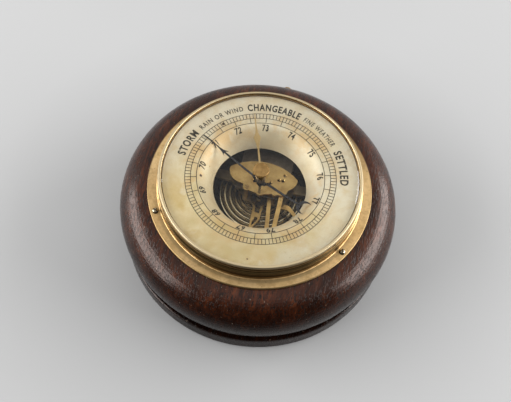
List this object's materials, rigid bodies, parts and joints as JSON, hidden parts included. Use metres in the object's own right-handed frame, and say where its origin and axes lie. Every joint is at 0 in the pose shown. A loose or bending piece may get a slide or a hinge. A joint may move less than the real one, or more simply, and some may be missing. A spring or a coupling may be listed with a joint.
{
  "type": "barometer",
  "caption": "Round aneroid wall barometer in a turned wooden case, with a dished dial open to the movement, pressure and marker hands, brass bezel and domed glass.",
  "frame": {"origin": "centre of the flat back face of the back board", "axes": "+Z out through the glass along the hands' axis, +Y to twelve o'clock, where the hanging eye is, +X to three o'clock"},
  "size_m": [0.17, 0.1764, 0.0706],
  "materials": {
    "turned_wood": "satin",
    "bezel_brass": "satin",
    "small_brass": "satin",
    "knob_brass": "satin",
    "marker_brass": "satin",
    "dark_steel": "satin",
    "glass": "clear",
    "silvered_dial": "matt",
    "blued_steel": "satin",
    "movement_brass": "satin",
    "aged_brass": "satin",
    "bridge_bronze": "satin",
    "capsule_brass": "satin",
    "bright_steel": "satin",
    "spring_steel": "satin"
  },
  "bodies": {
    "case": {"case_ring": "turned_wood", "back_board": "turned_wood", "bezel": "bezel_brass", "glass_ring": "bezel_brass", "hanging_eye": "small_brass", "back_screws": "small_brass", "base_screws": "small_brass", "base_spacers": "small_brass", "dial_pillars": "small_brass", "plate_posts": "small_brass", "brace_post": "small_brass", "rocker_post": "small_brass", "hairspring_stud": "small_brass", "glass_bush": "small_brass", "bezel_screws": "dark_steel", "glass": "glass", "dial": "silvered_dial", "hairspring": "blued_steel", "arbor_plate": "movement_brass", "front_brace": "movement_brass", "rocker_frame": "movement_brass", "base_plate": "movement_brass", "plate_screws": "aged_brass", "brace_screws": "aged_brass", "frame_rivets": "aged_brass", "movement_bridge": "bridge_bronze", "spring_clamp": "bridge_bronze", "capsule": "capsule_brass", "bridge_screws": "bright_steel", "spring_screws": "bright_steel", "mainspring": "spring_steel"},
    "setting": {"setting_knob": "knob_brass", "marker_hand": "marker_brass", "marker_boss": "aged_brass"},
    "pointer": {"arbor": "bright_steel", "hand_collet": "blued_steel", "pressure_hand": "blued_steel", "hairspring_collet": "small_brass"},
    "rocker": {"rocking_shaft": "bright_steel", "chain_arm": "movement_brass", "crank_arm": "movement_brass", "balance_arm": "movement_brass"},
    "drum_chain": {"chain": "bright_steel"},
    "link": {"link_rod": "bright_steel"},
    "lever": {"main_lever": "movement_brass", "lever_rivets": "aged_brass", "capsule_stud": "bright_steel"},
    "adjuster": {"adjusting_screw": "bright_steel"}
  },
  "joints": [
    {"name": "marker_setting", "type": "hinge", "parent": "case", "child": "setting", "pos_m": [0, 0, 0.066], "axis": [0, 0, 1], "continuous": true},
    {"name": "pointer_turn", "type": "hinge", "parent": "case", "child": "pointer", "pos_m": [0, 0, 0.045], "axis": [0, 0, 1], "range_deg": [-221.5, 110.8], "deforming": ["hairspring"]},
    {"name": "shaft_rock", "type": "hinge", "parent": "case", "child": "rocker", "pos_m": [0.0136, 0, 0.035], "axis": [0, 1, 0], "range_deg": [-20.4, 10.3]},
    {"name": "chain_pin", "type": "hinge", "parent": "rocker", "child": "drum_chain", "pos_m": [0.0136, 0, 0.041], "axis": [0, 1, 0], "range_deg": [-10.3, 20.4]},
    {"name": "link_pin", "type": "hinge", "parent": "rocker", "child": "link", "pos_m": [0.0096, -0.0216, 0.035], "axis": [0, 1, 0], "range_deg": [-10.3, 20.4]},
    {"name": "lever_rise", "type": "hinge", "parent": "case", "child": "lever", "pos_m": [0, 0.03, 0.02725], "axis": [1, 0, 0], "range_deg": [-0.78, 1.56], "deforming": ["mainspring", "capsule"]},
    {"name": "adjuster_turn", "type": "hinge", "parent": "case", "child": "adjuster", "pos_m": [0, 0.007, 0.012], "axis": [0, 0, 1], "continuous": true}
  ],
  "couplings": [
    {"joint": "shaft_rock", "follows": "pointer_turn", "ratio": 0.0917},
    {"joint": "chain_pin", "follows": "pointer_turn", "ratio": -0.0917},
    {"joint": "link_pin", "follows": "pointer_turn", "ratio": -0.0917},
    {"joint": "lever_rise", "follows": "pointer_turn", "ratio": -0.007}
  ]
}
